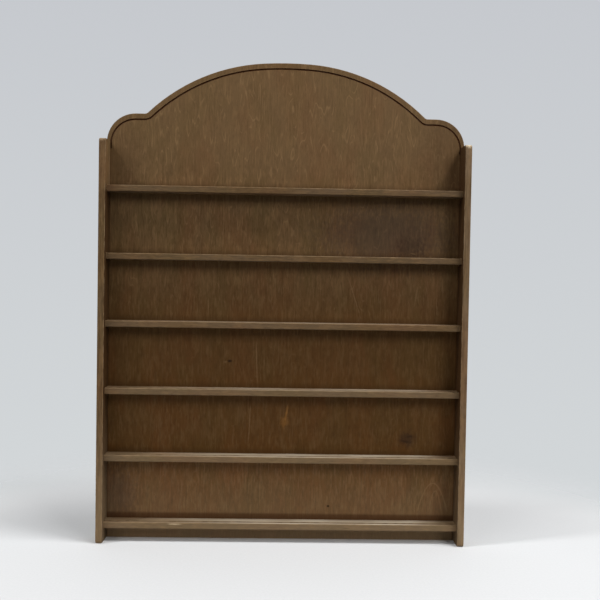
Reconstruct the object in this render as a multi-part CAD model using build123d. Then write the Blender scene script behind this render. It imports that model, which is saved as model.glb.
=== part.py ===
"""Wall rack for small display plates: a shaped plywood back, two side boards and six grooved shelves.

Millimetres, +Z up, +X to the right of a person who faces the rack, front towards -Y.
The origin is the centre of the bounding box, at the foot.
"""
import os
from math import asin, cos, hypot, sin, sqrt

from build123d import *

# Side boards
overall_width = 508.0        # over the outer faces of both sides
side_thickness = 9.1
side_depth = 38.0            # front edge to the back of the rack
side_height = 555.0
side_corner_radius = 5.0     # rounded front corners at head and foot
side_edge_ease = 0.8         # long front edges broken with sandpaper
rebate_width = 5.0           # step in the rear inner corner that takes the back panel
housing_depth = 3.0          # stopped groove in the side that takes a shelf's end

# Back panel
panel_thickness = 6.0
panel_clearance = 0.1        # play of the panel in each rebate
panel_edge_ease = 1.0        # rounded front edge
panel_rear_chamfer = 0.6
shoulder_rise = 39.3         # flat of the shoulder above the side's top
shoulder_width = 54.8        # panel edge to the corner of the notch
shoulder_radius = 40.0
notch_radius = 7.0           # inner corner between shoulder and crown
crown_rise = 73.7            # top of the crown above the shoulder's flat
crown_centre_radius = 500.0  # flatter middle of the arch
crown_centre_half_width = 32.5

# Routed line on the panel's face, a V groove
line_top_margin = 8.3        # crown and shoulder edge to the line's centre
line_side_margin = 5.7       # panel's upright edge to the line's centre
line_width = 2.5
line_depth = 1.4
line_tail = 10.0             # how far the line runs on below the side's top

# Shelves
shelf_names = ("top_shelf", "second_shelf", "third_shelf", "fourth_shelf", "fifth_shelf", "bottom_shelf")
shelf_thickness = 8.6
shelf_setback = 9.0          # side's front edge to the shelf's front edge
shelf_edge_ease = 1.0
top_shelf_drop = 71.0        # side's top to the underside of the top shelf
bottom_shelf_height = 19.0   # foot of the rack to the underside of the bottom shelf
housing_clearance = 0.1      # play of a shelf's end in its housing
plate_groove_width = 5.0
plate_groove_depth = 1.5
plate_groove_margin = 4.5    # shelf's front edge to the near edge of the groove

# Brads, flat wire with a T head and a chisel point
brad_width = 1.25
brad_gauge = 1.0             # thickness of the wire
brad_head_width = 2.0
brad_head_height = 0.8
brad_point = 2.0
brad_clearance = 0.05        # play around a brad in its hole
brad_set = 0.3               # head below the surface
end_brad_length = 25.0       # side into shelf end
end_brad_margin = 6.0        # shelf's front and rear edge to the nearest end brad
shelf_brad_length = 19.0     # panel into shelf
shelf_brads_per_shelf = 4
shelf_brad_margin = 35.0     # side's inner face to the nearest of these brads
side_brad_length = 16.0      # panel into side

# Saw-tooth hangers, bent steel strip
hanger_length = 44.0
hanger_height = 9.0
hanger_gauge = 0.8
hanger_tab = 8.0             # flat end that is nailed down
hanger_lift = 1.2            # gap between the raised middle and the panel
hanger_bend = 2.0            # run of the sloping piece between tab and middle
hanger_spacing = 280.0       # between the centres of the two hangers
tooth_pitch = 3.0
tooth_depth = 1.8
tooth_count = 7
nail_diameter = 1.4
nail_head_diameter = 3.2
nail_head_height = 0.8
nail_length = 14.0           # under the head
nail_sides = 10              # small round wire, drawn as a prism
nail_clearance = 0.05

# Places worked out from the sizes above
front = -(side_depth + hanger_lift + hanger_gauge) / 2
back = front + side_depth
panel_front = back - panel_thickness
outer = overall_width / 2
inner = outer - side_thickness
panel_half = inner + rebate_width - panel_clearance
shelf_front = front + shelf_setback
shelf_half = inner + housing_depth - housing_clearance
shoulder_height = side_height + shoulder_rise
panel_height = shoulder_height + crown_rise
shelf_count = len(shelf_names)
top_shelf_height = side_height - top_shelf_drop
shelf_pitch = (top_shelf_height - bottom_shelf_height) / (shelf_count - 1)
shelf_heights = [top_shelf_height - index * shelf_pitch for index in range(shelf_count)]
shelf_middles = [height + shelf_thickness / 2 for height in shelf_heights]
bay_roofs = [side_height] + shelf_heights[:-1]
bay_middles = [(height + shelf_thickness + roof) / 2 for height, roof in zip(shelf_heights, bay_roofs)]


def block(low: tuple, high: tuple) -> Part:
    """Box between two opposite corners."""
    size = [b - a for a, b in zip(low, high)]
    return Pos(*low) * Box(*size, align=(Align.MIN, Align.MIN, Align.MIN))


def crown_edges(top_inset: float, side_inset: float, foot: float) -> list:
    """Right half of the crown's line, from the foot of its upright stretch to the apex, drawn in X and Z.

    Inset moves the line inwards, so one function gives both the panel's outline and the routed line.
    """
    half = panel_half - side_inset
    flat = shoulder_height - top_inset
    corner = shoulder_radius - side_inset

    # Arch of three arcs: a flat middle and two rounder haunches that run down to the notches
    middle_z = panel_height - crown_centre_radius
    turn = asin(crown_centre_half_width / crown_centre_radius)
    join_x = crown_centre_radius * sin(turn)
    join_z = middle_z + crown_centre_radius * cos(turn)
    notch_x = panel_half - shoulder_width
    run = notch_x - join_x
    drop = shoulder_height - join_z
    haunch = (run**2 + drop**2) / (2 * (-run * sin(turn) - drop * cos(turn)))
    haunch_x = join_x - haunch * sin(turn)
    haunch_z = join_z - haunch * cos(turn)

    # Inner corner at the notch: an arc that touches the shoulder's flat and the haunch
    fillet_z = shoulder_height + notch_radius
    fillet_x = haunch_x + sqrt((haunch + notch_radius) ** 2 - (fillet_z - haunch_z) ** 2)
    reach = hypot(fillet_x - haunch_x, fillet_z - haunch_z)
    share = (haunch - top_inset) / reach
    middle_radius = crown_centre_radius - top_inset

    foot_end = (half, foot)
    shoulder_start = (half, flat - corner)
    shoulder_end = (half - corner, flat)
    notch_start = (fillet_x, flat)
    notch_end = (haunch_x + (fillet_x - haunch_x) * share, haunch_z + (fillet_z - haunch_z) * share)
    haunch_end = (middle_radius * sin(turn), middle_z + middle_radius * cos(turn))
    apex = (0, panel_height - top_inset)

    upright = Line(foot_end, shoulder_start)
    shoulder = TangentArc(shoulder_start, shoulder_end, tangent=(0, 1))
    level = Line(shoulder_end, notch_start)
    notch = TangentArc(notch_start, notch_end, tangent=(-1, 0))
    rise = TangentArc(notch_end, haunch_end, tangent=notch % 1)
    middle = TangentArc(haunch_end, apex, tangent=rise % 1)
    return [upright, shoulder, level, notch, rise, middle]


def both_halves(edges: list) -> list:
    """Edges of the right half and their mirror images on the left, in order from foot to foot."""
    mirrored = [mirror(edge, about=Plane.YZ) for edge in reversed(edges)]
    return [edge for curve in edges + mirrored for edge in curve.edges()]


def brad(length: float, play: float = 0.0, mouth: float = 0.0) -> Part:
    """Brad whose head's top is at the origin and whose point is down the Z axis.

    Play makes it its own hole, and mouth carries that hole up to the surface above a sunk head.
    """
    wire = brad_width / 2 + play
    head = brad_head_width / 2 + play
    shank_end = brad_point - length
    outline = Polyline(
        (-head, mouth),
        (head, mouth),
        (head, -brad_head_height - play),
        (wire, -brad_head_height - play),
        (wire, shank_end),
        (0, -length - play),
        (-wire, shank_end),
        (-wire, -brad_head_height - play),
        (-head, -brad_head_height - play),
        close=True,
    )
    return extrude(Plane.XZ * make_face(outline), amount=brad_gauge / 2 + play, both=True)


def nail(play: float = 0.0) -> Part:
    """Round nail whose head's underside is at the origin and whose point is down the Z axis."""
    shank = extrude(RegularPolygon(nail_diameter / 2 + play, nail_sides), amount=-nail_length - play)
    head = extrude(RegularPolygon(nail_head_diameter / 2 + play, nail_sides), amount=nail_head_height)
    return shank + head


def end_brad_places(side: int) -> list:
    """Heads of the brads that go through one side, -1 for left and 1 for right, into the shelf ends."""
    depths = (shelf_front + end_brad_margin, panel_front - end_brad_margin)
    turn = Rotation(0, side * 90, 0)
    return [Pos(side * (outer - brad_set), y, z) * turn for z in shelf_middles for y in depths]


def shelf_brad_places(z: float) -> list:
    """Heads of the brads that go through the panel into one shelf's rear edge."""
    reach = inner - shelf_brad_margin
    spacing = 2 * reach / (shelf_brads_per_shelf - 1)
    turn = Rotation(-90, 0, 0)
    return [Pos(i * spacing - reach, back - brad_set, z) * turn for i in range(shelf_brads_per_shelf)]


def side_brad_places(side: int) -> list:
    """Heads of the brads that go through the panel's edge into one side, halfway up each bay."""
    x = side * (inner + panel_half) / 2
    turn = Rotation(-90, 0, 0) * Rotation(0, 0, 90)
    return [Pos(x, back - brad_set, z) * turn for z in bay_middles]


def hanger_centre(side: int) -> float:
    """X of one hanger's middle."""
    return side * hanger_spacing / 2


def nail_places(side: int) -> list:
    """Undersides of the nail heads of one hanger, which go through the panel into the top shelf."""
    middle = hanger_centre(side)
    reach = (hanger_length - hanger_tab) / 2
    turn = Rotation(-90, 0, 0)
    return [Pos(middle + x, back + hanger_gauge, shelf_middles[0]) * turn for x in (-reach, reach)]


all_shelf_brads = [place for z in shelf_middles for place in shelf_brad_places(z)]


def holes(places: list, length: float) -> list:
    """Holes for brads of one length, open to the surface that they were driven through."""
    return [place * brad(length, brad_clearance, brad_set) for place in places]


def nail_holes(side: int) -> list:
    """Holes for one hanger's nails."""
    return [place * nail(nail_clearance) for place in nail_places(side)]


def side_board(side: int) -> Part:
    """Side board with rounded front corners, rebate for the panel and housings for the shelves."""
    outline = Polyline((front, 0), (back, 0), (back, side_height), (front, side_height), close=True)
    profile = make_face(outline)
    profile = fillet(profile.vertices().filter_by_position(Axis.X, front, front), side_corner_radius)
    low_x = min(side * inner, side * outer)
    board = extrude(Plane.YZ.offset(low_x) * profile, amount=side_thickness)
    front_edges = [
        edge
        for edge in board.edges()
        if edge.center().Y < front + side_corner_radius and abs(edge.tangent_at(0.5).X) < 0.5
    ]
    board = fillet(front_edges, side_edge_ease)

    step = sorted((side * inner, side * (inner + rebate_width)))
    cuts = [block((step[0], panel_front, 0), (step[1], back, side_height))]
    groove = sorted((side * inner, side * (inner + housing_depth)))
    for height in shelf_heights:
        low = (groove[0], shelf_front - housing_clearance, height - housing_clearance)
        high = (groove[1], panel_front, height + shelf_thickness + housing_clearance)
        cuts.append(block(low, high))
    cuts += holes(end_brad_places(side), end_brad_length)
    cuts += holes(side_brad_places(side), side_brad_length)
    return board - cuts


def crown_rim(panel: Part, y: float) -> list:
    """Edges of the crown and shoulders on the panel's front or rear face."""
    rim = panel.edges().filter_by_position(Axis.Y, y, y)
    return [edge for edge in rim if edge.center().Z > side_height]


def back_panel() -> Part:
    """Panel with its crown, eased edge and routed line."""
    right = crown_edges(0, 0, 0)
    foot = Line((-panel_half, 0), (panel_half, 0))
    face = make_face(both_halves(right) + [foot])
    panel = extrude(Plane.XZ.offset(-back) * face, amount=panel_thickness)
    panel = fillet(crown_rim(panel, panel_front), panel_edge_ease)
    panel = chamfer(crown_rim(panel, back), panel_rear_chamfer)

    path = Wire(both_halves(crown_edges(line_top_margin, line_side_margin, side_height - line_tail)))
    path = Plane.XZ.offset(-panel_front) * path
    section = Plane(path @ 0, x_dir=(1, 0, 0), z_dir=path % 0)
    mouth = line_width / 2
    depth = line_depth
    cutter = Polyline((-mouth, -depth), (mouth, -depth), (mouth, 0), (0, depth), (-mouth, 0), close=True)
    panel -= sweep(section * make_face(cutter), path=path)

    cuts = holes(all_shelf_brads, shelf_brad_length)
    for side in (-1, 1):
        cuts += holes(side_brad_places(side), side_brad_length)
        cuts += nail_holes(side)
    return panel - cuts


def shelf(index: int) -> Part:
    """Shelf with eased front edges and a round-bottomed groove that keeps the plates from sliding off."""
    height = shelf_heights[index]
    board = block((-shelf_half, shelf_front, height), (shelf_half, panel_front, height + shelf_thickness))
    long_front_edges = board.edges().filter_by(Axis.X).group_by(Axis.Y)[0]
    board = fillet(long_front_edges, shelf_edge_ease)

    radius = (plate_groove_width**2 / 4 + plate_groove_depth**2) / (2 * plate_groove_depth)
    groove_y = shelf_front + plate_groove_margin + plate_groove_width / 2
    groove_z = height + shelf_thickness + radius - plate_groove_depth
    cuts = [Pos(0, groove_y, groove_z) * Rotation(0, 90, 0) * Cylinder(radius, 3 * shelf_half)]

    middle = shelf_middles[index]
    for side in (-1, 1):
        places = end_brad_places(side)
        own_places = [place for place in places if abs(place.position.Z - middle) < shelf_thickness]
        cuts += holes(own_places, end_brad_length)
        if index == 0:
            cuts += nail_holes(side)
    cuts += holes(shelf_brad_places(middle), shelf_brad_length)
    return board - cuts


def hanger(side: int) -> Part:
    """Steel strip with two flat ends and a raised middle whose lower edge is toothed."""
    half = hanger_length / 2
    tab = half - hanger_tab
    middle = tab - hanger_bend
    lift = hanger_lift
    outline = Polyline(
        (-half, 0), (-tab, 0), (-middle, lift), (middle, lift), (tab, 0), (half, 0),
        (half, hanger_gauge), (tab, hanger_gauge), (middle, lift + hanger_gauge),
        (-middle, lift + hanger_gauge), (-tab, hanger_gauge), (-half, hanger_gauge),
        close=True,
    )
    centre = Pos(hanger_centre(side), back, shelf_middles[0])
    strip = centre * extrude(make_face(outline), amount=hanger_height / 2, both=True)

    low = -hanger_height / 2
    half_tooth = tooth_pitch / 2
    notch = make_face(Polyline((-half_tooth, low), (half_tooth, low), (0, low + tooth_depth), close=True))
    first = -(tooth_count - 1) / 2 * tooth_pitch
    cuts = nail_holes(side)
    for index in range(tooth_count):
        tooth = Pos(first + index * tooth_pitch, 0) * notch
        cuts.append(centre * extrude(Plane.XZ * tooth, amount=-2 * (lift + hanger_gauge)))
    return strip - cuts


def group(solids: list) -> Compound:
    """Separate solids kept together in one node."""
    return Compound(children=solids)


shelf_brads = [place * brad(shelf_brad_length) for place in all_shelf_brads]
parts = {
    "back_panel": back_panel(),
    "left_side": side_board(-1),
    "right_side": side_board(1),
    "panel_to_shelf_brads": group(shelf_brads),
}
for index, name in enumerate(shelf_names):
    parts[name] = shelf(index)
for word, side in (("left", -1), ("right", 1)):
    end_brads = [place * brad(end_brad_length) for place in end_brad_places(side)]
    panel_brads = [place * brad(side_brad_length) for place in side_brad_places(side)]
    parts[f"{word}_shelf_end_brads"] = group(end_brads)
    parts[f"{word}_panel_brads"] = group(panel_brads)
    parts[f"{word}_hanger"] = hanger(side)
    parts[f"{word}_hanger_nails"] = group([place * nail() for place in nail_places(side)])

os.makedirs("parts", exist_ok=True)
for name, solid in parts.items():
    export_step(solid, f"parts/{name}.step")
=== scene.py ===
"""Looks of a plate rack: stained birch, steel fittings, filled brad holes, a pale studio and the camera."""

import logging
from dataclasses import dataclass
from enum import Enum
from math import hypot, pi, radians
from typing import Union

import bmesh
import bpy
import numpy as np
from mathutils import Matrix, Vector


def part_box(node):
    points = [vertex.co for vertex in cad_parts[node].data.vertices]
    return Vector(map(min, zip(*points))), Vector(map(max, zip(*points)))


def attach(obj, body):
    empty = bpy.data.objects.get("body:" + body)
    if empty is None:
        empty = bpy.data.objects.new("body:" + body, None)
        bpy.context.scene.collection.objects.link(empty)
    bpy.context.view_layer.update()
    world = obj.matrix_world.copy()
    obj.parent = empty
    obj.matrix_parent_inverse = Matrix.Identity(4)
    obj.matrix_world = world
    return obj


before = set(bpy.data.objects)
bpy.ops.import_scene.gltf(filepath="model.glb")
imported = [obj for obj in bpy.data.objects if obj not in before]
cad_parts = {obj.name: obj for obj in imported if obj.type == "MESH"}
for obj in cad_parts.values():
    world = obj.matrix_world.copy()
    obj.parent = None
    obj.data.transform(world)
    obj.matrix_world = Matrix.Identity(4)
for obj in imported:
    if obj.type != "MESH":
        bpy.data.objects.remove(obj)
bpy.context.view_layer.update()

MM = 0.001
BODY = "root"
SHELVES = ("top_shelf", "second_shelf", "third_shelf", "fourth_shelf", "fifth_shelf", "bottom_shelf")
SMOOTH = {"interpolation_type": "SMOOTHSTEP"}
NO_TURN = (0.0, 0.0, 0.0)

# Points of a mesh closer than this, in metres, are one point
WELD = 1e-7

log = logging.getLogger("plate_rack")

Node = bpy.types.Node
Socket = bpy.types.NodeSocket
Value = Union[float, tuple, Node, Socket]


class Kind(Enum):
    """Kinds of node that the finishes and the studio are made of."""

    PLACE = "ShaderNodeTexCoord"
    SURFACE = "ShaderNodeNewGeometry"
    SPLIT = "ShaderNodeSeparateXYZ"
    MAPPING = "ShaderNodeMapping"
    NOISE = "ShaderNodeTexNoise"
    MATH = "ShaderNodeMath"
    VECTOR = "ShaderNodeVectorMath"
    RANGE = "ShaderNodeMapRange"
    MIX = "ShaderNodeMix"
    BUMP = "ShaderNodeBump"
    RAY = "ShaderNodeLightPath"
    CLEAR = "ShaderNodeBsdfTransparent"
    MIX_SHADER = "ShaderNodeMixShader"
    BACKGROUND = "ShaderNodeBackground"


class MixSocket(Enum):
    """Numbers of a colour mix's sockets, whose names aren't unique."""

    FACTOR = 0
    UNDER = 6
    OVER = 7
    RESULT = 2


class Grain(Enum):
    """Which way the fibres of a board run."""

    UPRIGHT = "along Z"
    ACROSS = "along X"

    def size(self, across: float, along: float) -> tuple[float, float, float]:
        """Gives a pattern's size along X, Y and Z.

        Args:
            across: Size across the fibres.
            along: Size along the fibres.

        Returns:
            The three sizes, in the unit of the two that were given.
        """
        if self is Grain.UPRIGHT:
            return (across, across, along)
        return (along, across, across)


@dataclass(frozen=True)
class Lumps:
    """Soft lumps of noise, which runs from 0 to 1: begun at the start level and full at the end level.

    The size along X, Y and Z is in millimetres, the shift makes two layers differ, and the detail is the
    number of finer octaves.
    """

    size: tuple[float, float, float]
    shift: float
    start: float
    end: float
    detail: float = 2.0


@dataclass(frozen=True)
class Fibre:
    """One layer of the wood's figure: lumps drawn out along the grain. Sizes in millimetres."""

    colour: str
    across: float
    along: float
    shift: float
    start: float
    end: float
    strength: float
    detail: float = 2.0


@dataclass(frozen=True)
class Mark:
    """Soft elliptical spot in a face: a knot, a patch, a streak, a scuff, painted shade or a painted
    highlight. Millimetres and degrees.
    """

    x: float
    y: float
    z: float
    half_width: float
    half_height: float
    turn: float
    colour: str
    strength: float
    half_depth: float = 2.0


@dataclass(frozen=True)
class Arc:
    """Light year ring that stands as a parabola in an upright face. Millimetres."""

    x: float
    top: float
    half_width: float
    drop: float
    line: float
    colour: str
    strength: float
    fade: float = 6.0


def linear(code: str) -> tuple[float, float, float, float]:
    """Turns an sRGB hex colour into linear light.

    Args:
        code: Six hex digits after a hash sign.

    Returns:
        Red, green, blue and a full alpha, for a colour socket.
    """
    share = np.array([int(code[i:i + 2], 16) for i in (1, 3, 5)]) / 255.0
    light = np.where(share <= 0.04045, share / 12.92, ((share + 0.055) / 1.055) ** 2.4)
    return (float(light[0]), float(light[1]), float(light[2]), 1.0)


def plug(tree: bpy.types.NodeTree, socket: Socket, value: Value) -> None:
    """Sets an input to a value, or links it from a given output or from a node's first output.

    Args:
        tree: Node tree that holds the input.
        socket: The input.
        value: Number, colour, output or node.
    """
    if isinstance(value, Node):
        value = value.outputs[0]
    if isinstance(value, Socket):
        tree.links.new(value, socket)
    else:
        socket.default_value = value


def add_node(tree: bpy.types.NodeTree, kind: Kind, inputs: dict, **settings: object) -> Node:
    """Adds one node to a tree, sets its properties and fills or links its inputs.

    Args:
        tree: Node tree that takes the node.
        kind: Kind of node.
        inputs: Value, output or node for each input, by the input's name or number.
        settings: Properties of the node itself.

    Returns:
        The new node.
    """
    node = tree.nodes.new(kind.value)
    for name, value in settings.items():
        setattr(node, name, value)
    for key, value in inputs.items():
        plug(tree, node.inputs[key], value)
    return node


class Layers:
    """Material whose colours are laid one over the other, on Object coordinates."""

    # Distance from a mark's centre, in half sizes and with its ragged rim, at which it is gone and full
    MARK_FADE = (1.6, 0.7)

    def __init__(self, name: str, base: str) -> None:
        """Starts a material.

        Args:
            name: The material's name, after the real material.
            base: Colour under all the layers.
        """
        self.material = bpy.data.materials.new(name)
        self.material.use_nodes = True
        self.tree = self.material.node_tree
        self.shader = self.tree.nodes["Principled BSDF"]
        self.colour: Value = linear(base)
        self.place = add_node(self.tree, Kind.PLACE, {}).outputs["Object"]
        surface = add_node(self.tree, Kind.SURFACE, {}).outputs["True Normal"]
        self.facing = add_node(self.tree, Kind.SPLIT, {0: surface}).outputs
        self.at = add_node(self.tree, Kind.SPLIT, {0: self.place}).outputs

    def add(self, kind: Kind, *inputs: Value, **settings: object) -> Node:
        """Adds a node to this material, with its inputs in their order."""
        return add_node(self.tree, kind, dict(enumerate(inputs)), **settings)

    def patches(self, lumps: Lumps) -> Node:
        """Gives the mask of soft patches: noise that is raised from 0 at one level to 1 at another.

        Args:
            lumps: Size, shift and levels of the noise.

        Returns:
            The mask.
        """
        scale = tuple(1 / (length * MM) for length in lumps.size)
        shift = (lumps.shift, lumps.shift, lumps.shift)
        stretched = self.add(Kind.MAPPING, self.place, shift, NO_TURN, scale)
        inputs = {"Vector": stretched, "Scale": 1.0, "Detail": lumps.detail}
        noise = add_node(self.tree, Kind.NOISE, inputs)
        return self.add(Kind.RANGE, noise, lumps.start, lumps.end, **SMOOTH)

    def lay(self, colour: str, strength: float, *masks: Value) -> None:
        """Lays a colour over the ones below it, where all its masks are.

        Args:
            colour: Colour of the layer.
            strength: Most that it covers.
            masks: Where it lies, each from 0 to 1.
        """
        cover: Value = strength
        for mask in masks:
            cover = self.add(Kind.MATH, cover, mask, operation="MULTIPLY")
        inputs = {
            MixSocket.FACTOR.value: cover,
            MixSocket.UNDER.value: self.colour,
            MixSocket.OVER.value: linear(colour),
        }
        mix = add_node(self.tree, Kind.MIX, inputs, data_type="RGBA")
        self.colour = mix.outputs[MixSocket.RESULT.value]

    def lay_mark(self, mark: Mark, ragged: Value) -> None:
        """Lays a mark: an ellipse in the face's plane whose rim a noise makes ragged.

        Args:
            mark: Place, size, turn and colour.
            ragged: Noise that breaks up the rim.
        """
        centre = (mark.x * MM, mark.y * MM, mark.z * MM)
        reach = (mark.half_width * MM, mark.half_depth * MM, mark.half_height * MM)
        turn = (0.0, radians(mark.turn), 0.0)
        local = self.add(Kind.MAPPING, self.place, centre, turn, reach, vector_type="TEXTURE")
        distance = add_node(self.tree, Kind.VECTOR, {0: local}, operation="LENGTH").outputs["Value"]
        rim = self.add(Kind.MATH, distance, ragged, operation="ADD")
        self.lay(mark.colour, mark.strength, self.add(Kind.RANGE, rim, *self.MARK_FADE, **SMOOTH))

    def lay_arc(self, arc: Arc) -> None:
        """Lays a year ring: the curve on which height plus sag is the height of the ring's top.

        The sag is the bend times the squared distance from the ring's axis.

        Args:
            arc: Place, size and colour.
        """
        bend = arc.drop / arc.half_width**2 / MM
        across = self.add(Kind.MATH, self.at["X"], arc.x * MM, operation="SUBTRACT")
        square = self.add(Kind.MATH, across, across, operation="MULTIPLY")
        sag = self.add(Kind.MATH, square, bend, operation="MULTIPLY")
        height = self.add(Kind.MATH, self.at["Z"], sag, operation="ADD")
        miss = self.add(Kind.MATH, height, arc.top * MM, operation="SUBTRACT")
        size = self.add(Kind.MATH, miss, operation="ABSOLUTE")

        # The miss is upright, so the curve's slope shortens it to the distance from the curve
        steep = self.add(Kind.MATH, sag, 4 * bend, 1.0, operation="MULTIPLY_ADD")
        slope = self.add(Kind.MATH, steep, operation="SQRT")
        distance = self.add(Kind.MATH, size, slope, operation="DIVIDE")
        line = self.add(Kind.RANGE, distance, arc.line * MM, 0.0, **SMOOTH)
        foot = (arc.top - arc.drop) * MM
        standing = self.add(Kind.RANGE, self.at["Z"], foot, foot + arc.fade * MM, **SMOOTH)
        self.lay(arc.colour, arc.strength, line, standing)

    def finish(
        self, roughness: Value, height: Value, depth: float, metallic: float = 0.0, gloss: float = 0.5
    ) -> bpy.types.Material:
        """Puts the colour, gloss and relief on the shader.

        Args:
            roughness: Roughness of the surface.
            height: Relief, from 0 to 1.
            depth: Real height of the relief in millimetres.
            metallic: 1 for bare metal.
            gloss: How much a clear coat reflects, 0.5 for a plain varnish.

        Returns:
            The finished material.
        """
        relief = {"Height": height, "Distance": depth * MM, "Strength": 1.0}
        values = {
            "Base Color": self.colour,
            "Roughness": roughness,
            "Metallic": metallic,
            "Specular IOR Level": gloss,
            "Normal": add_node(self.tree, Kind.BUMP, relief),
        }
        for name, value in values.items():
            plug(self.tree, self.shader.inputs[name], value)
        return self.material


@dataclass(frozen=True)
class StainedBirch:
    """Birch, planed and sanded, with a walnut stain under a thin dull varnish.

    The eye sees soft reddish and olive patches along the fibres, fine mottling, darker pores, arrises that
    the stain has worn off, and grey dust on what faces up, which also paints the light that falls on the
    tops.
    """

    name: str
    grain: Grain
    base: str
    russet: str = "#70482A"
    olive: str = "#5A4928"
    deep: str = "#3A2712"
    light: str = "#826543"
    pore: str = "#2A190A"
    pore_cover: float = 0.2
    pore_width: float = 1.0
    pore_length: float = 11.0
    pore_shift: float = 11.0
    pore_levels: tuple[float, float] = (0.6, 0.74)
    worn_and_lit: str = "#A38D6E"
    dust_and_light: str = "#B2A794"
    dust_and_light_cover: float = 0.7
    roughness: float = 0.49
    uneven_roughness: float = 0.12
    dusty_roughness: float = 0.25
    gloss: float = 0.1
    relief: float = 0.05
    facing_up: tuple[float, float] = (0.8, 0.97)
    film: Lumps = Lumps((70, 25, 30), 14.0, 0.0, 0.8)
    rubbed: Lumps = Lumps((9, 9, 9), 2.0, 0.35, 0.65, detail=3.0)
    uneven: Lumps = Lumps((14, 14, 14), 6.0, 0.2, 0.8, detail=3.0)

    def start(self) -> Layers:
        """Starts the material with its stain."""
        return Layers(self.name, self.base)

    def lay_grain(self, layers: Layers) -> None:
        """Lays the patches and fibres that every board has.

        Fibres are finer than the render shows, so they are drawn about 2 mm wide.

        Args:
            layers: The material being made.
        """
        figure = (
            Fibre(self.russet, 42, 100, 1.0, 0.42, 0.66, 0.33),
            Fibre(self.olive, 36, 80, 7.0, 0.42, 0.66, 0.36),
            Fibre(self.deep, 9, 24, 15.0, 0.46, 0.7, 0.16),
            Fibre(self.light, 8, 20, 19.0, 0.48, 0.7, 0.26),
            Fibre(self.deep, 2.6, 7, 3.0, 0.45, 0.75, 0.26, detail=3.0),
            Fibre(self.light, 2.2, 14, 5.0, 0.48, 0.72, 0.4),
            Fibre(self.deep, 1.8, 50, 9.0, 0.48, 0.75, 0.26),
        )
        for fibre in figure:
            self.lay_fibre(layers, fibre)

    def lay_fibre(self, layers: Layers, fibre: Fibre) -> None:
        """Lays one layer of the figure along the grain.

        Args:
            layers: The material being made.
            fibre: The layer.
        """
        size = self.grain.size(fibre.across, fibre.along)
        lumps = Lumps(size, fibre.shift, fibre.start, fibre.end, fibre.detail)
        layers.lay(fibre.colour, fibre.strength, layers.patches(lumps))

    def lay_foot_light(self, layers: Layers, height: float, strength: float) -> None:
        """Lays the paler tone that grows towards the foot: painted light, of the light that the floor
        throws up.

        Args:
            layers: The material being made.
            height: Height in millimetres at which it begins.
            strength: How much it covers at the foot.
        """
        low = layers.add(Kind.RANGE, layers.at["Z"], height * MM, 0.0, **SMOOTH)
        layers.lay(self.worn_and_lit, strength, low)

    def close(self, layers: Layers, arris: Value, wear: float, dusty_and_lit: Value) -> bpy.types.Material:
        """Adds pores, worn arrises, and dust that also paints light on what faces up, and the varnish on
        top.

        Args:
            layers: The material being made.
            arris: Mask of the eased edges.
            wear: How far the stain has worn off there.
            dusty_and_lit: Mask of the dust, which also paints light on what faces up.

        Returns:
            The finished material.
        """
        # Cut vessels are short dark dashes, drawn about 1 mm wide so that they show
        dash = self.grain.size(self.pore_width, self.pore_length)
        pores = layers.patches(Lumps(dash, self.pore_shift, *self.pore_levels, detail=1.0))
        layers.lay(self.pore, self.pore_cover, pores)
        layers.lay(self.worn_and_lit, wear, arris, layers.patches(self.rubbed))
        # Grey dust on what faces up, which also stands in for the light that falls on the tops
        layers.lay(self.dust_and_light, self.dust_and_light_cover, dusty_and_lit)
        uneven = layers.patches(self.uneven)
        spread = (self.uneven_roughness, self.roughness)
        varnish = layers.add(Kind.MATH, uneven, *spread, operation="MULTIPLY_ADD")
        rough = layers.add(Kind.MATH, dusty_and_lit, self.dusty_roughness, varnish, operation="MULTIPLY_ADD")
        height = layers.add(Kind.MATH, 1.0, pores, operation="SUBTRACT")
        return layers.finish(rough, height, self.relief, gloss=self.gloss)

    def dust_and_light_on_top(self, layers: Layers) -> Node:
        """Gives the mask of the dust and painted light: an uneven film on what faces up.

        Args:
            layers: The material being made.

        Returns:
            The mask.
        """
        upward = layers.add(Kind.RANGE, layers.facing["Z"], *self.facing_up, **SMOOTH)
        return layers.add(Kind.MATH, upward, layers.patches(self.film), operation="MULTIPLY")


@dataclass(frozen=True)
class MillSteel:
    """Rolled sheet with a thin zinc coat, or drawn wire: grey, faintly mottled, with fine lines along X."""

    name: str
    base: str
    stain: str
    roughness: float
    uneven_roughness: float = 0.2
    relief: float = 0.01
    stain_cover: float = 0.6
    mottling: Lumps = Lumps((2.5, 2.5, 1.5), 3.0, 0.45, 0.75, detail=4.0)
    rolling: Lumps = Lumps((12, 0.3, 0.3), 5.0, 0.0, 1.0)

    def make(self) -> bpy.types.Material:
        """Makes the material.

        Returns:
            The finished material.
        """
        layers = Layers(self.name, self.base)
        layers.lay(self.stain, self.stain_cover, layers.patches(self.mottling))
        lines = layers.patches(self.rolling)
        spread = (self.uneven_roughness, self.roughness)
        rough = layers.add(Kind.MATH, lines, *spread, operation="MULTIPLY_ADD")
        return layers.finish(rough, lines, self.relief, metallic=1.0)


@dataclass(frozen=True)
class WoodPutty:
    """Brown putty, pressed into a hole and wiped: flat and grainy, a little darker than the wood."""

    name: str = "wood_putty"
    base: str = "#4A3119"
    crumb: str = "#6A4C2C"
    crumb_cover: float = 0.6
    crumbs: Lumps = Lumps((0.4, 0.4, 0.4), 2.0, 0.4, 0.7, detail=3.0)
    roughness: float = 0.8
    gloss: float = 0.2
    relief: float = 0.03

    def make(self) -> bpy.types.Material:
        """Makes the material.

        Returns:
            The finished material.
        """
        layers = Layers(self.name, self.base)
        crumbs = layers.patches(self.crumbs)
        layers.lay(self.crumb, self.crumb_cover, crumbs)
        return layers.finish(self.roughness, crumbs, self.relief, gloss=self.gloss)


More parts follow.
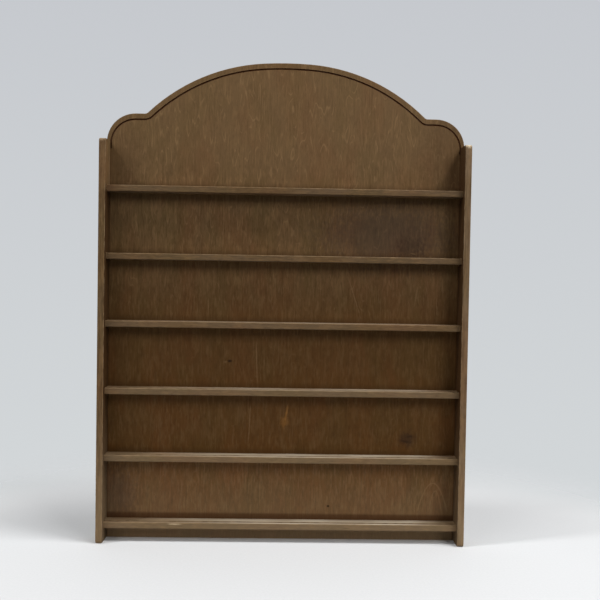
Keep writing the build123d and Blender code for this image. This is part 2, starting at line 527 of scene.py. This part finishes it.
def put_on(node: str, material: bpy.types.Material) -> None:
    """Gives one CAD node a material in place of the one it came with.

    Args:
        node: The node's name.
        material: Its new material.
    """
    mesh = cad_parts[node].data
    mesh.materials.clear()
    mesh.materials.append(material)
    log.info("%s wears %s", node, material.name)


@dataclass
class BackPanel:
    """Plywood back with the shaped crown. Sizes in millimetres, facings as shares of a unit normal."""

    node: str = "back_panel"
    front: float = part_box("top_shelf")[1].y / MM
    lowest_top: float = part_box(SHELVES[-1])[1].z / MM
    highest_top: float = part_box(SHELVES[0])[1].z / MM

    # Tones by height: painted light and shade over faded stain, the open field's softened grain, and the
    # paler foot
    shaded: float = 120.0
    palest_at: float = 500.0
    softened: float = 470.0
    soft: float = 540.0
    soft_cover: float = 0.4
    bay_shade_from: float = 390.0
    bay_shade_full: float = 290.0
    bay_shade_cover: float = 0.38
    pale_below: float = 130.0
    foot_light: float = 0.2
    below_shelves_pale_cover: float = 0.25

    # Painted shade in the corners and along the sides, and the painted shadow strip over the bottom shelf
    corner: float = 10.0
    corner_cover: float = 0.5
    strip_edge: float = 4.0
    strip_cover: float = 0.55
    side_corner: float = 2.5
    side_corner_cover: float = 0.5

    # Routed line, plies, rear and arris
    line_half_width: float = 1.25
    line_depth: float = 1.4
    line_tolerance: tuple[float, float] = (0.03, 0.02)
    ply: float = 1.2
    ply_edge: tuple[float, float] = (0.35, 0.65)
    ply_cover: float = 0.6
    rear_bareness: float = 0.5
    arris_wear: float = 0.15

    # Flames of the veneer, and the noise that makes the rims of marks ragged
    flame_lumps: Lumps = Lumps((14, 14, 75), 13.0, 0.0, 1.0, detail=1.0)
    flame_levels: float = 6.0
    flame_width: float = 0.15
    flame_strokes: Lumps = Lumps((10, 10, 22), 17.0, 0.47, 0.63)
    flame_shares: tuple[float, float] = (0.18, 0.42)
    ragged: Lumps = Lumps((4, 4, 6), 8.0, 0.0, 1.1)

    facing_front: tuple[float, float] = (-0.3, -0.6)
    facing_rear: tuple[float, float] = (0.8, 0.95)
    facing_edge: tuple[float, float] = (0.4, 0.15)

    stain: str = "#684623"
    faded_and_lit: str = "#695135"
    bay_shade: str = "#402500"
    flame: str = "#8A6D4B"
    gold: str = "#9A6A34"
    knot: str = "#1F1207"
    shade: str = "#38240F"
    smoke: str = "#2E1E14"
    ash_and_painted_shade: str = "#2D282D"
    strip: str = "#40210C"
    line: str = "#381D08"
    rear: str = "#7A6142"

    def pitch(self) -> float:
        """Gives the height from one shelf's top to the next."""
        return (self.highest_top - self.lowest_top) / (len(SHELVES) - 1)

    def marks(self) -> list[Mark]:
        """Lists the knots, patches, painted shade and light streaks that the face shows.

        Returns:
            The marks, in the order in which they are laid.
        """
        y = self.front
        return [
            # Knots of the third, fourth and bottom bay
            Mark(-74.5, y, 250.8, 3.8, 2.8, 0.0, self.knot, 0.9),
            Mark(-81.0, y, 249.5, 3.0, 2.2, 0.0, self.flame, 0.4),
            Mark(177.0, y, 143.0, 14.0, 14.0, 0.0, self.smoke, 0.6),
            Mark(176.0, y, 140.0, 7.0, 2.0, 8.0, self.knot, 0.5),
            Mark(180.0, y, 147.0, 5.0, 1.6, -12.0, self.knot, 0.4),
            Mark(67.0, y, 47.0, 2.0, 2.0, 0.0, self.knot, 0.8),
            # Smoky shade of the first bay, with its knot
            Mark(145.0, y, 430.0, 115.0, 55.0, 0.0, self.ash_and_painted_shade, 0.36),
            Mark(175.5, y, 412.0, 26.0, 22.0, 0.0, self.smoke, 0.5),
            Mark(181.0, y, 405.5, 5.0, 1.2, 12.0, self.flame, 0.35),
            # Painted shade at the ends of the open field, where the sides cast shadow, and at the left end
            # of the bottom bay
            Mark(226.0, y, 540.0, 45.0, 80.0, 0.0, self.shade, 0.3),
            Mark(-230.0, y, 530.0, 40.0, 70.0, 0.0, self.shade, 0.2),
            Mark(-232.0, y, 62.0, 38.0, 50.0, 0.0, self.ash_and_painted_shade, 0.3),
            # Light streaks
            Mark(98.0, y, 346.0, 1.1, 34.0, -18.0, self.flame, 0.4),
            Mark(-37.0, y, 252.0, 1.1, 38.0, -2.0, self.flame, 0.4),
            Mark(-46.0, y, 160.0, 1.1, 36.0, 2.5, self.flame, 0.4),
            Mark(6.0, y, 178.0, 1.8, 14.0, 8.0, self.gold, 0.6),
            Mark(3.0, y, 165.0, 7.0, 9.0, 0.0, self.gold, 0.35),
            Mark(186.0, y, 346.0, 1.6, 15.0, 10.0, self.flame, 0.35),
            Mark(-166.0, y, 415.0, 1.1, 13.0, 0.0, self.flame, 0.4),
            Mark(-106.0, y, 328.0, 1.1, 15.0, 0.0, self.flame, 0.35),
            Mark(-131.0, y, 507.0, 1.1, 10.0, 0.0, self.flame, 0.45),
            Mark(-57.0, y, 624.0, 1.4, 9.0, -13.0, self.flame, 0.4),
            Mark(-140.0, y, 70.0, 1.2, 13.0, 0.0, self.flame, 0.35),
        ]

    def rings(self) -> list[Arc]:
        """Lists the year rings that stand out beside the foot of the right side.

        Returns:
            The rings, the outer one first.
        """
        return [
            Arc(215.0, 81.0, 22.0, 43.0, 1.5, self.flame, 0.45),
            Arc(219.0, 70.0, 9.0, 30.0, 1.2, self.flame, 0.4),
        ]

    def lay_grain(self, layers: Layers, wood: StainedBirch) -> None:
        """Lays the grain, the paler open field and deeper bays, which paint light and shade over faded
        stain, and the painted light at the foot.

        The flames of the rotary-cut veneer are light level lines of stretched lumps, broken into strokes.

        Args:
            layers: The material being made.
            wood: The panel's wood.
        """
        # Painted light and shade over faded stain: the open field is laid palest, and the bays deeper and
        # more saturated the lower they are, as the shelves shade them
        heights = (self.shaded * MM, self.palest_at * MM)
        pale_and_lit = layers.add(Kind.RANGE, layers.at["Z"], *heights, **SMOOTH)
        layers.lay(self.faded_and_lit, 1.0, pale_and_lit)
        wood.lay_grain(layers)
        # Painted light towards the foot, of the light that the floor throws up
        wood.lay_foot_light(layers, self.pale_below, self.foot_light)

        # In the open field the grain is softened with the same paler tone
        heights = (self.softened * MM, self.soft * MM)
        field = layers.add(Kind.RANGE, layers.at["Z"], *heights, **SMOOTH)
        layers.lay(self.faded_and_lit, self.soft_cover, field)

        # The flames stand out most where the face is laid paler
        lumps = layers.patches(self.flame_lumps)
        height = layers.add(Kind.MATH, lumps, self.flame_levels, operation="MULTIPLY")
        off_level = layers.add(Kind.MATH, height, 0.5, operation="PINGPONG")
        lines = layers.add(Kind.RANGE, off_level, self.flame_width, 0.0, **SMOOTH)
        strokes = layers.patches(self.flame_strokes)
        shown = layers.add(Kind.RANGE, pale_and_lit, 0.0, 1.0, *self.flame_shares)
        layers.lay(self.flame, 1.0, lines, strokes, shown)

    def lay_figure(self, layers: Layers, face: Value) -> None:
        """Lays the painted shade of the darkest bays, and the rings, knots, streaks and painted shade marks
        that stand out.

        Args:
            layers: The material being made.
            face: Mask of the front.
        """
        # Painted shade: the two bays over the lowest one, which get the least light, are laid darker and
        # more saturated
        heights = (self.bay_shade_from * MM, self.bay_shade_full * MM)
        low = layers.add(Kind.RANGE, layers.at["Z"], *heights, **SMOOTH)
        floor = (self.lowest_top + self.pitch()) * MM
        over = layers.add(Kind.MATH, layers.at["Z"], floor, operation="GREATER_THAN")
        layers.lay(self.bay_shade, self.bay_shade_cover, face, low, over)
        for ring in self.rings():
            layers.lay_arc(ring)
        ragged = layers.patches(self.ragged)
        for mark in self.marks():
            layers.lay_mark(mark, ragged)

    def lay_rear_and_plies(self, layers: Layers, wood: StainedBirch, turned: Value) -> None:
        """Lays the bare look of the back and the stripes of the plies on the edge.

        Args:
            layers: The material being made.
            wood: The panel's wood.
            turned: How far the surface faces the front or the rear.
        """
        # The back was stained thinly and never varnished
        behind = layers.add(Kind.RANGE, layers.facing["Y"], *self.facing_rear)
        layers.lay(self.rear, self.rear_bareness, behind)

        # Plies show on the edge as stripes, end grain darker than long grain
        edge = layers.add(Kind.RANGE, turned, *self.facing_edge, **SMOOTH)
        depth = layers.add(Kind.MATH, layers.at["Y"], 1 / (self.ply * MM), operation="MULTIPLY")
        wave = layers.add(Kind.MATH, depth, 1.0, operation="PINGPONG")
        stripe = layers.add(Kind.RANGE, wave, *self.ply_edge, **SMOOTH)
        layers.lay(wood.pore, self.ply_cover, edge, stripe)

    def lay_bay_tones(self, layers: Layers, wood: StainedBirch, face: Value) -> None:
        """Lays what differs with the height above each shelf: painted shade in the corners, a painted
        shadow strip, and the paler foot.

        Args:
            layers: The material being made.
            wood: The panel's wood.
            face: Mask of the front.
        """
        lowest = self.lowest_top * MM
        pitch = self.pitch() * MM

        # Painted shade in the corner above each shelf
        above = layers.add(Kind.MATH, layers.at["Z"], lowest, operation="SUBTRACT")
        height = layers.add(Kind.MATH, above, pitch, operation="FLOORED_MODULO")
        foot = layers.add(Kind.RANGE, height, self.corner * MM, 0.0, **SMOOTH)
        field = self.highest_top * MM + pitch / 2
        shelved = layers.add(Kind.MATH, layers.at["Z"], field, operation="LESS_THAN")
        layers.lay(self.shade, self.corner_cover, face, foot, shelved)

        # Painted shadow: a darker strip in the bay above the bottom shelf, as high as the corner's painted
        # shade, where the shelf shades the panel from the floor's light
        edges = (self.corner * MM, (self.corner - self.strip_edge) * MM)
        low = layers.add(Kind.RANGE, height, *edges, **SMOOTH)
        bay = layers.add(Kind.MATH, layers.at["Z"], lowest + pitch / 4, pitch / 4, operation="COMPARE")
        layers.lay(self.strip, self.strip_cover, face, low, bay)

        # Below the bottom shelf the face is laid paler
        below_shelves = layers.add(Kind.MATH, layers.at["Z"], lowest, operation="LESS_THAN")
        layers.lay(wood.worn_and_lit, self.below_shelves_pale_cover, face, below_shelves)

    def lay_edge_shade(self, layers: Layers, face: Value) -> None:
        """Lays the dark tone along the sides and in the routed line: painted shade in the corner and in the
        groove.

        Args:
            layers: The material being made.
            face: Mask of the front.
        """
        # Painted shade in the corner beside each side, below the sides' tops
        outward = layers.add(Kind.MATH, layers.at["X"], operation="ABSOLUTE")
        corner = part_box("right_side")[0].x
        near = layers.add(Kind.RANGE, outward, corner - self.side_corner * MM, corner, **SMOOTH)
        under = layers.add(Kind.MATH, layers.at["Z"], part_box("left_side")[1].z, operation="LESS_THAN")
        layers.lay(self.line, self.side_corner_cover, face, near, under)

        # The routed line is known by the slope of its two flanks, and laid dark there: painted shade in the
        # groove
        slope = self.line_half_width / hypot(self.line_half_width, self.line_depth)
        lean = layers.add(Kind.MATH, layers.facing["Y"], slope, operation="ADD")
        miss = layers.add(Kind.MATH, lean, operation="ABSOLUTE")
        layers.lay(self.line, 1.0, layers.add(Kind.RANGE, miss, *self.line_tolerance))

    def dress(self) -> None:
        """Makes the plywood's material and puts it on the panel."""
        wood = StainedBirch("stained_birch_plywood", Grain.UPRIGHT, self.stain)
        layers = wood.start()
        face = layers.add(Kind.RANGE, layers.facing["Y"], *self.facing_front)
        turned = layers.add(Kind.MATH, layers.facing["Y"], operation="ABSOLUTE")
        self.lay_grain(layers, wood)
        self.lay_figure(layers, face)
        self.lay_rear_and_plies(layers, wood, turned)
        self.lay_bay_tones(layers, wood, face)
        self.lay_edge_shade(layers, face)
        arris = layers.add(Kind.RANGE, turned, 1.0, 0.0)
        put_on(self.node, wood.close(layers, arris, self.arris_wear, wood.dust_and_light_on_top(layers)))


@dataclass
class SideBoard:
    """One upright board. Sizes in millimetres."""

    node: str
    stain: str
    shaded_below: float
    foot_light: float
    head_bare_and_highlight: float
    shaded: str = "#382411"
    shaded_cover: float = 0.95
    shade_edge: float = 20.0
    inward_lean: tuple[float, float] = (-0.1, -0.2)
    bare_and_highlight: str = "#C4B498"
    head_reach: float = 5.0
    head_depth: float = 12.0
    ragged: Lumps = Lumps((3, 3, 3), 8.0, 0.0, 1.1)
    pale_below: float = 220.0
    arris_wear: float = 0.5

    def dress(self) -> None:
        """Makes the board's material and puts it on."""
        wood = StainedBirch(f"stained_birch_{self.node}", Grain.UPRIGHT, self.stain)
        layers = wood.start()
        wood.lay_grain(layers)

        # The sides are solid wood, cut so that its year lines run up the narrow front
        wood.lay_fibre(layers, Fibre(wood.deep, 1.5, 60, 21.0, 0.46, 0.68, 0.45))
        wood.lay_fibre(layers, Fibre(wood.light, 1.8, 24, 23.0, 0.48, 0.7, 0.4))

        # The inner face looks towards X = 0. It is laid dark below a given height: painted shade, where the
        # shelves and the back shade it
        lean = layers.add(Kind.MATH, layers.facing["X"], layers.at["X"], operation="MULTIPLY")
        inward = layers.add(Kind.RANGE, lean, *self.inward_lean, **SMOOTH)
        edges = (self.shaded_below * MM, (self.shaded_below - self.shade_edge) * MM)
        below = layers.add(Kind.RANGE, layers.at["Z"], *edges, **SMOOTH)
        layers.lay(self.shaded, self.shaded_cover, inward, below)
        # Painted light towards the foot, of the light that the floor throws up
        wood.lay_foot_light(layers, self.pale_below, self.foot_light)

        # The head is laid pale: bare wood where the stain was knocked off, and a painted highlight of the
        # light from above
        low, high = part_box(self.node)
        place = ((low.x + high.x) / 2 / MM, low.y / MM, high.z / MM)
        reach = (self.head_reach, self.head_reach)
        head = Mark(*place, *reach, 0.0, self.bare_and_highlight, self.head_bare_and_highlight, self.head_depth)
        layers.lay_mark(head, layers.patches(self.ragged))

        # The product of the two facings is one half where an arris is turned by 45 degrees
        turned = layers.add(Kind.MATH, layers.facing["X"], layers.facing["Y"], operation="MULTIPLY")
        size = layers.add(Kind.MATH, turned, operation="ABSOLUTE")
        arris = layers.add(Kind.RANGE, size, 0.0, 0.5)
        put_on(self.node, wood.close(layers, arris, self.arris_wear, wood.dust_and_light_on_top(layers)))


@dataclass
class Shelves:
    """The six narrow shelves. Sizes in millimetres."""

    stain: str = "#64503A"
    groove_shade: str = "#33200E"
    groove_shade_cover: float = 0.6

    # Scuff on the front of the bottom shelf, its place along X and Z
    scuff: str = "#B49E80"
    scuff_place: tuple[float, float] = (-146.6, 25.7)
    scuff_reach: tuple[float, float] = (11.0, 1.2)
    scuff_cover: float = 0.9
    ragged: Lumps = Lumps((5, 2, 2), 8.0, 0.0, 1.1)

    # Dust and painted light on the tops: lengths of the thinner ends, where the sides shade the tops,
    # heights between which it grows, and its shares
    thin_left_end: float = 245.0
    thin_right_end: float = 75.0
    thin_film_at: float = 240.0
    thick_film_at: float = 110.0
    film_shares: tuple[float, float] = (0.45, 1.2)
    groove_film: float = 0.45

    # Plate groove, measured from the front
    groove_start: float = 4.5
    groove_end: float = 9.5
    groove_edge: float = 0.3

    # Painted light towards the foot, and wear of the arris
    pale_below: float = 420.0
    foot_light: float = 0.2
    arris_wear: float = 0.25
    facing_arris: tuple[float, float] = (-0.05, -0.45)

    def groove(self, layers: Layers, front: float) -> Node:
        """Gives the mask of the plate groove.

        Args:
            layers: The material being made.
            front: Depth of the shelves' front in metres.

        Returns:
            The mask, 1 in the groove.
        """
        middle = front + (self.groove_start + self.groove_end) / 2 * MM
        reach = (self.groove_end - self.groove_start) / 2
        off = layers.add(Kind.MATH, layers.at["Y"], middle, operation="SUBTRACT")
        miss = layers.add(Kind.MATH, off, operation="ABSOLUTE")
        edges = ((reach + self.groove_edge) * MM, (reach - self.groove_edge) * MM)
        return layers.add(Kind.RANGE, miss, *edges)

    def dust_and_light(self, layers: Layers, wood: StainedBirch, groove: Value) -> Value:
        """Gives the mask of the dust and painted light, thin towards the ends, where the sides shade the
        tops, and in the groove, thick on the lower shelves.

        Args:
            layers: The material being made.
            wood: The shelves' wood.
            groove: Mask of the plate groove.

        Returns:
            The mask.
        """
        left, right = (corner.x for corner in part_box(SHELVES[0]))
        ends = ((left, left + self.thin_left_end * MM), (right, right - self.thin_right_end * MM))
        masks = [layers.add(Kind.RANGE, layers.at["X"], *end, **SMOOTH) for end in ends]
        heights = (self.thin_film_at * MM, self.thick_film_at * MM)
        masks.append(layers.add(Kind.RANGE, layers.at["Z"], *heights, *self.film_shares))
        masks.append(layers.add(Kind.RANGE, groove, 0.0, 1.0, 1.0, self.groove_film))
        dusty_and_lit: Value = wood.dust_and_light_on_top(layers)
        for mask in masks:
            dusty_and_lit = layers.add(Kind.MATH, dusty_and_lit, mask, operation="MULTIPLY")
        return dusty_and_lit

    def dress(self) -> None:
        """Makes the shelves' material and puts it on all six."""
        wood = StainedBirch("stained_birch_shelf", Grain.ACROSS, self.stain)
        layers = wood.start()
        wood.lay_grain(layers)
        # Painted light towards the foot, of the light that the floor throws up
        wood.lay_foot_light(layers, self.pale_below, self.foot_light)
        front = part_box(SHELVES[0])[0].y
        x, z = self.scuff_place
        scuff = Mark(x, front / MM, z, *self.scuff_reach, 0.0, self.scuff, self.scuff_cover)
        layers.lay_mark(scuff, layers.patches(self.ragged))

        # Painted shade in the plate groove
        groove = self.groove(layers, front)
        layers.lay(self.groove_shade, self.groove_shade_cover, groove)

        # Only the upper front edge is rubbed, by plates that are set down and taken out
        turned = layers.add(Kind.MATH, layers.facing["Y"], layers.facing["Z"], operation="MULTIPLY")
        arris = layers.add(Kind.RANGE, turned, *self.facing_arris, **SMOOTH)
        material = wood.close(layers, arris, self.arris_wear, self.dust_and_light(layers, wood, groove))
        for node in SHELVES:
            put_on(node, material)


@dataclass
class Steelwork:
    """Hangers, their nails, and the brads."""

    plated: MillSteel = MillSteel("zinc_plated_steel", "#C2BFB6", "#8E8A7C", 0.3)
    wire: MillSteel = MillSteel("bright_steel_wire", "#9A968E", "#5E4A38", 0.4)

    def dress(self) -> None:
        """Puts zinc-plated steel on the hangers and nails and bright wire on the brads."""
        plated = self.plated.make()
        wire = self.wire.make()
        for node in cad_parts:
            if "brads" in node:
                put_on(node, wire)
            elif "hanger" in node:
                put_on(node, plated)


def grid_object(name: str, grids: np.ndarray, closed: bool) -> bpy.types.Object:
    """Makes one mesh object from grids of points whose columns run round and close on themselves.

    Args:
        name: The object's name.
        grids: Points as an array of grids, rows, columns and coordinates.
        closed: True where each grid is a closed shell, with a pole at either end.

    Returns:
        The new object, at the origin.
    """
    count, rows, columns, _ = grids.shape
    number = np.arange(count * rows * columns).reshape(count, rows, columns)
    beside = np.roll(number, -1, axis=2)
    corners = (number[:, :-1], number[:, 1:], beside[:, 1:], beside[:, :-1])
    faces = np.stack([corner.ravel() for corner in corners], axis=1)
    mesh = bpy.data.meshes.new(name)
    mesh.from_pydata(grids.reshape(-1, 3).tolist(), [], faces.tolist())
    shell = bmesh.new()
    shell.from_mesh(mesh)
    bmesh.ops.remove_doubles(shell, verts=shell.verts, dist=WELD)
    if closed:
        bmesh.ops.recalc_face_normals(shell, faces=shell.faces)
    shell.to_mesh(mesh)
    shell.free()
    made = bpy.data.objects.new(name, mesh)
    bpy.context.scene.collection.objects.link(made)
    return made


@dataclass
class BradFillings:
    """Putty over the sunk brads in the outer faces of the sides. Sizes in millimetres."""

    half_width: float = 0.53
    half_height: float = 1.03
    sink: float = 0.01
    dish: float = 0.08
    gap: float = 0.02
    squareness: float = 4.0
    steps_round: int = 24
    steps_out: int = 5
    brad_gauge: float = 1.0

    def build(self, word: str, side: int, material: bpy.types.Material) -> None:
        """Builds all the fillings of one side as one mesh.

        Each is a plug on a superellipse. With turn a and share s from 0 to 1, a point lies at s times the
        curve whose halves are the cosine and sine of a to the power of two over the squareness, and is
        sunk by the dish times one minus s squared. A straight wall and a flat foot on the brad's head
        close it.

        Args:
            word: Left or right.
            side: -1 for the left side and 1 for the right.
            material: The putty.
        """
        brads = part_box(f"{word}_shelf_end_brads")
        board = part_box(f"{word}_side")
        face = abs(board[0].x if side < 0 else board[1].x)
        head = abs(brads[0].x if side < 0 else brads[1].x)
        inset = self.brad_gauge / 2 * MM
        depths = (brads[0].y + inset, brads[1].y - inset)
        heights = [(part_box(shelf)[0].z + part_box(shelf)[1].z) / 2 for shelf in SHELVES]
        places = np.array([(y, z) for y in depths for z in heights])

        turn = np.linspace(0, 2 * pi, self.steps_round, endpoint=False)
        power = 2 / self.squareness
        round_y = np.sign(np.cos(turn)) * np.abs(np.cos(turn)) ** power * self.half_width * MM
        round_z = np.sign(np.sin(turn)) * np.abs(np.sin(turn)) ** power * self.half_height * MM

        share = np.linspace(0, 1, self.steps_out)
        foot = face - head - self.gap * MM
        shares = np.concatenate([share, [1.0, 0.0]])
        sunk = np.concatenate([(self.sink + self.dish * (1 - share**2)) * MM, [foot, foot]])

        grids = np.empty((len(places), len(shares), len(turn), 3))
        grids[..., 0] = side * (face - sunk)[None, :, None]
        grids[..., 1] = places[:, 0, None, None] + shares[None, :, None] * round_y
        grids[..., 2] = places[:, 1, None, None] + shares[None, :, None] * round_z
        made = grid_object(f"{word}_brad_fillings", grids, closed=True)
        made.data.materials.append(material)
        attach(made, BODY)
        log.info("%s holds %d fillings", made.name, len(places))


@dataclass(frozen=True)
class Lamp:
    """Soft box that points at the rack. Metres and watts."""

    name: str
    place: tuple[float, float, float]
    size: tuple[float, float]
    watts: float


@dataclass
class Studio:
    """Round pale floor, soft lamps, pale surroundings and camera. Metres, the camera's place in mm."""

    # Floor
    floor_radius: float = 0.8
    floor_rings: int = 12
    floor_spokes: int = 48
    fade_start: float = 0.3
    fade_end: float = 0.75
    floor_tone: str = "#D6D7D8"
    fibre_tone: str = "#DCDDDE"
    fibre_cover: float = 0.5
    fibre: Lumps = Lumps((3, 3, 3), 2.0, 0.3, 0.7)
    floor_roughness: float = 0.9
    floor_relief: float = 0.02
    floor_gloss: float = 0.1

    # Tones that are seen, by the upward share of the direction
    upper_tone: str = "#C6C9CE"
    middle_tone: str = "#D3D7D9"
    lower_tone: str = "#EDEEEF"
    horizon: float = -0.245
    horizon_edge: float = 0.01
    upper_full: float = 0.3

    # Light of the room, and of the wall by the backward share of the direction
    room_tone: str = "#303030"
    wall_tone: str = "#B4B6B8"
    wall_full: float = 0.5

    # Lamps, and the point they are aimed at
    middle: tuple[float, float, float] = (0.0, 0.0, 0.33)
    lamps: tuple[Lamp, ...] = (
        Lamp("high_right_lamp", (1.25, -0.56, 2.3), (0.9, 0.4), 45.0),
        Lamp("high_left_lamp", (-1.5, -0.56, 2.3), (0.3, 0.2), 27.0),
        Lamp("right_lamp", (1.6, -2.15, 1.75), (1.0, 1.2), 30.0),
        Lamp("left_lamp", (-1.9, -1.9, 1.75), (2.0, 1.2), 23.0),
    )

    # Camera, turns in degrees, the focal length as a share of the picture's width
    camera_place: tuple[float, float, float] = (-3.24, -1181.5, 372.75)
    camera_heading: float = -1.236
    camera_pitch: float = -1.659
    camera_roll: float = 0.939
    focal_share: float = 850 / 600
    sensor: float = 36.0

    def build_floor(self) -> None:
        """Lays the floor: a disc of rings and spokes that thins out into the surroundings."""
        rings = np.linspace(0, self.floor_radius, self.floor_rings + 1)
        turn = np.linspace(0, 2 * pi, self.floor_spokes, endpoint=False)
        grids = np.zeros((1, len(rings), len(turn), 3))
        grids[..., 0] = rings[:, None] * np.cos(turn)
        grids[..., 1] = rings[:, None] * np.sin(turn)
        floor = grid_object("studio_floor", grids, closed=False)
        layers = Layers("pale_paper", self.floor_tone)
        fibre = layers.patches(self.fibre)
        layers.lay(self.fibre_tone, self.fibre_cover, fibre)
        material = layers.finish(self.floor_roughness, fibre, self.floor_relief, gloss=self.floor_gloss)
        tree = layers.tree
        distance = add_node(tree, Kind.VECTOR, {0: layers.place}, operation="LENGTH").outputs["Value"]
        thin = layers.add(Kind.RANGE, distance, self.fade_start, self.fade_end, **SMOOTH)
        mixed = layers.add(Kind.MIX_SHADER, thin, layers.shader, layers.add(Kind.CLEAR))
        tree.links.new(mixed.outputs[0], tree.nodes["Material Output"].inputs["Surface"])
        floor.data.materials.append(material)

    def build_light(self) -> None:
        """Hangs a steep lamp and a soft box on each side in front, all pointing at the rack."""
        for lamp in self.lamps:
            light = bpy.data.lights.new(lamp.name, "AREA")
            light.shape = "RECTANGLE"
            light.size, light.size_y = lamp.size
            light.energy = lamp.watts
            holder = bpy.data.objects.new(lamp.name, light)
            bpy.context.scene.collection.objects.link(holder)
            aim = (Vector(self.middle) - Vector(lamp.place)).to_track_quat("-Z", "Y")
            holder.matrix_world = Matrix.Translation(lamp.place) @ aim.to_matrix().to_4x4()

    def build_surroundings(self) -> None:
        """Sets a dim room with a pale wall behind the rack, and pale tones all round for what is seen.

        What mirrors or lets through sees the same tones as the eye.
        """
        world = bpy.data.worlds.new("studio_surroundings")
        world.use_nodes = True
        tree = world.node_tree
        towards = add_node(tree, Kind.PLACE, {}).outputs["Generated"]
        direction = add_node(tree, Kind.SPLIT, {0: towards}).outputs
        seen_steps = (
            (self.middle_tone, "Z", self.horizon - self.horizon_edge, self.horizon + self.horizon_edge),
            (self.upper_tone, "Z", self.horizon, self.upper_full),
        )
        light_steps = ((self.wall_tone, "Y", 0.0, self.wall_full),)
        skies = []
        for first, steps in ((self.room_tone, light_steps), (self.lower_tone, seen_steps)):
            tone: Value = linear(first)
            for colour, axis, start, end in steps:
                share = add_node(tree, Kind.RANGE, {0: direction[axis], 1: start, 2: end})
                inputs = {
                    MixSocket.FACTOR.value: share,
                    MixSocket.UNDER.value: tone,
                    MixSocket.OVER.value: linear(colour),
                }
                mix = add_node(tree, Kind.MIX, inputs, data_type="RGBA")
                tone = mix.outputs[MixSocket.RESULT.value]
            skies.append(add_node(tree, Kind.BACKGROUND, {"Color": tone}))
        ray = add_node(tree, Kind.RAY, {}).outputs
        seen: Value = ray["Is Camera Ray"]
        for other in ("Is Glossy Ray", "Is Transmission Ray"):
            seen = add_node(tree, Kind.MATH, {0: seen, 1: ray[other]}, operation="MAXIMUM")
        mixed = add_node(tree, Kind.MIX_SHADER, {0: seen, 1: skies[0], 2: skies[1]})
        tree.links.new(mixed.outputs[0], tree.nodes["World Output"].inputs["Surface"])
        bpy.context.scene.world = world

    def build_camera(self) -> None:
        """Sets the camera in front of the rack, a little above its middle."""
        data = bpy.data.cameras.new("camera")
        data.sensor_width = self.sensor
        data.lens = self.sensor * self.focal_share
        camera = bpy.data.objects.new("camera", data)
        bpy.context.scene.collection.objects.link(camera)
        turn = Matrix.Rotation(radians(self.camera_heading), 4, "Z")
        turn = turn @ Matrix.Rotation(radians(90 + self.camera_pitch), 4, "X")
        turn = turn @ Matrix.Rotation(radians(self.camera_roll), 4, "Z")
        camera.matrix_world = Matrix.Translation(Vector(self.camera_place) * MM) @ turn
        bpy.context.scene.camera = camera
        bpy.context.scene.view_settings.view_transform = "Standard"

    def build(self) -> None:
        """Builds the floor, the light, the surroundings and the camera."""
        self.build_floor()
        self.build_light()
        self.build_surroundings()
        self.build_camera()


def main() -> None:
    """Dresses the rack piece by piece and sets up the studio."""
    logging.basicConfig(level=logging.INFO, format="%(message)s")
    BackPanel().dress()
    SideBoard("left_side", stain="#665138", shaded_below=500.0, foot_light=0.27, head_bare_and_highlight=0.2).dress()
    SideBoard("right_side", stain="#7E6850", shaded_below=600.0, foot_light=0.15, head_bare_and_highlight=0.9).dress()
    Shelves().dress()
    Steelwork().dress()
    putty = WoodPutty().make()
    for word, side in (("left", -1), ("right", 1)):
        BradFillings().build(word, side, putty)
    Studio().build()


if __name__ == "__main__":
    main()
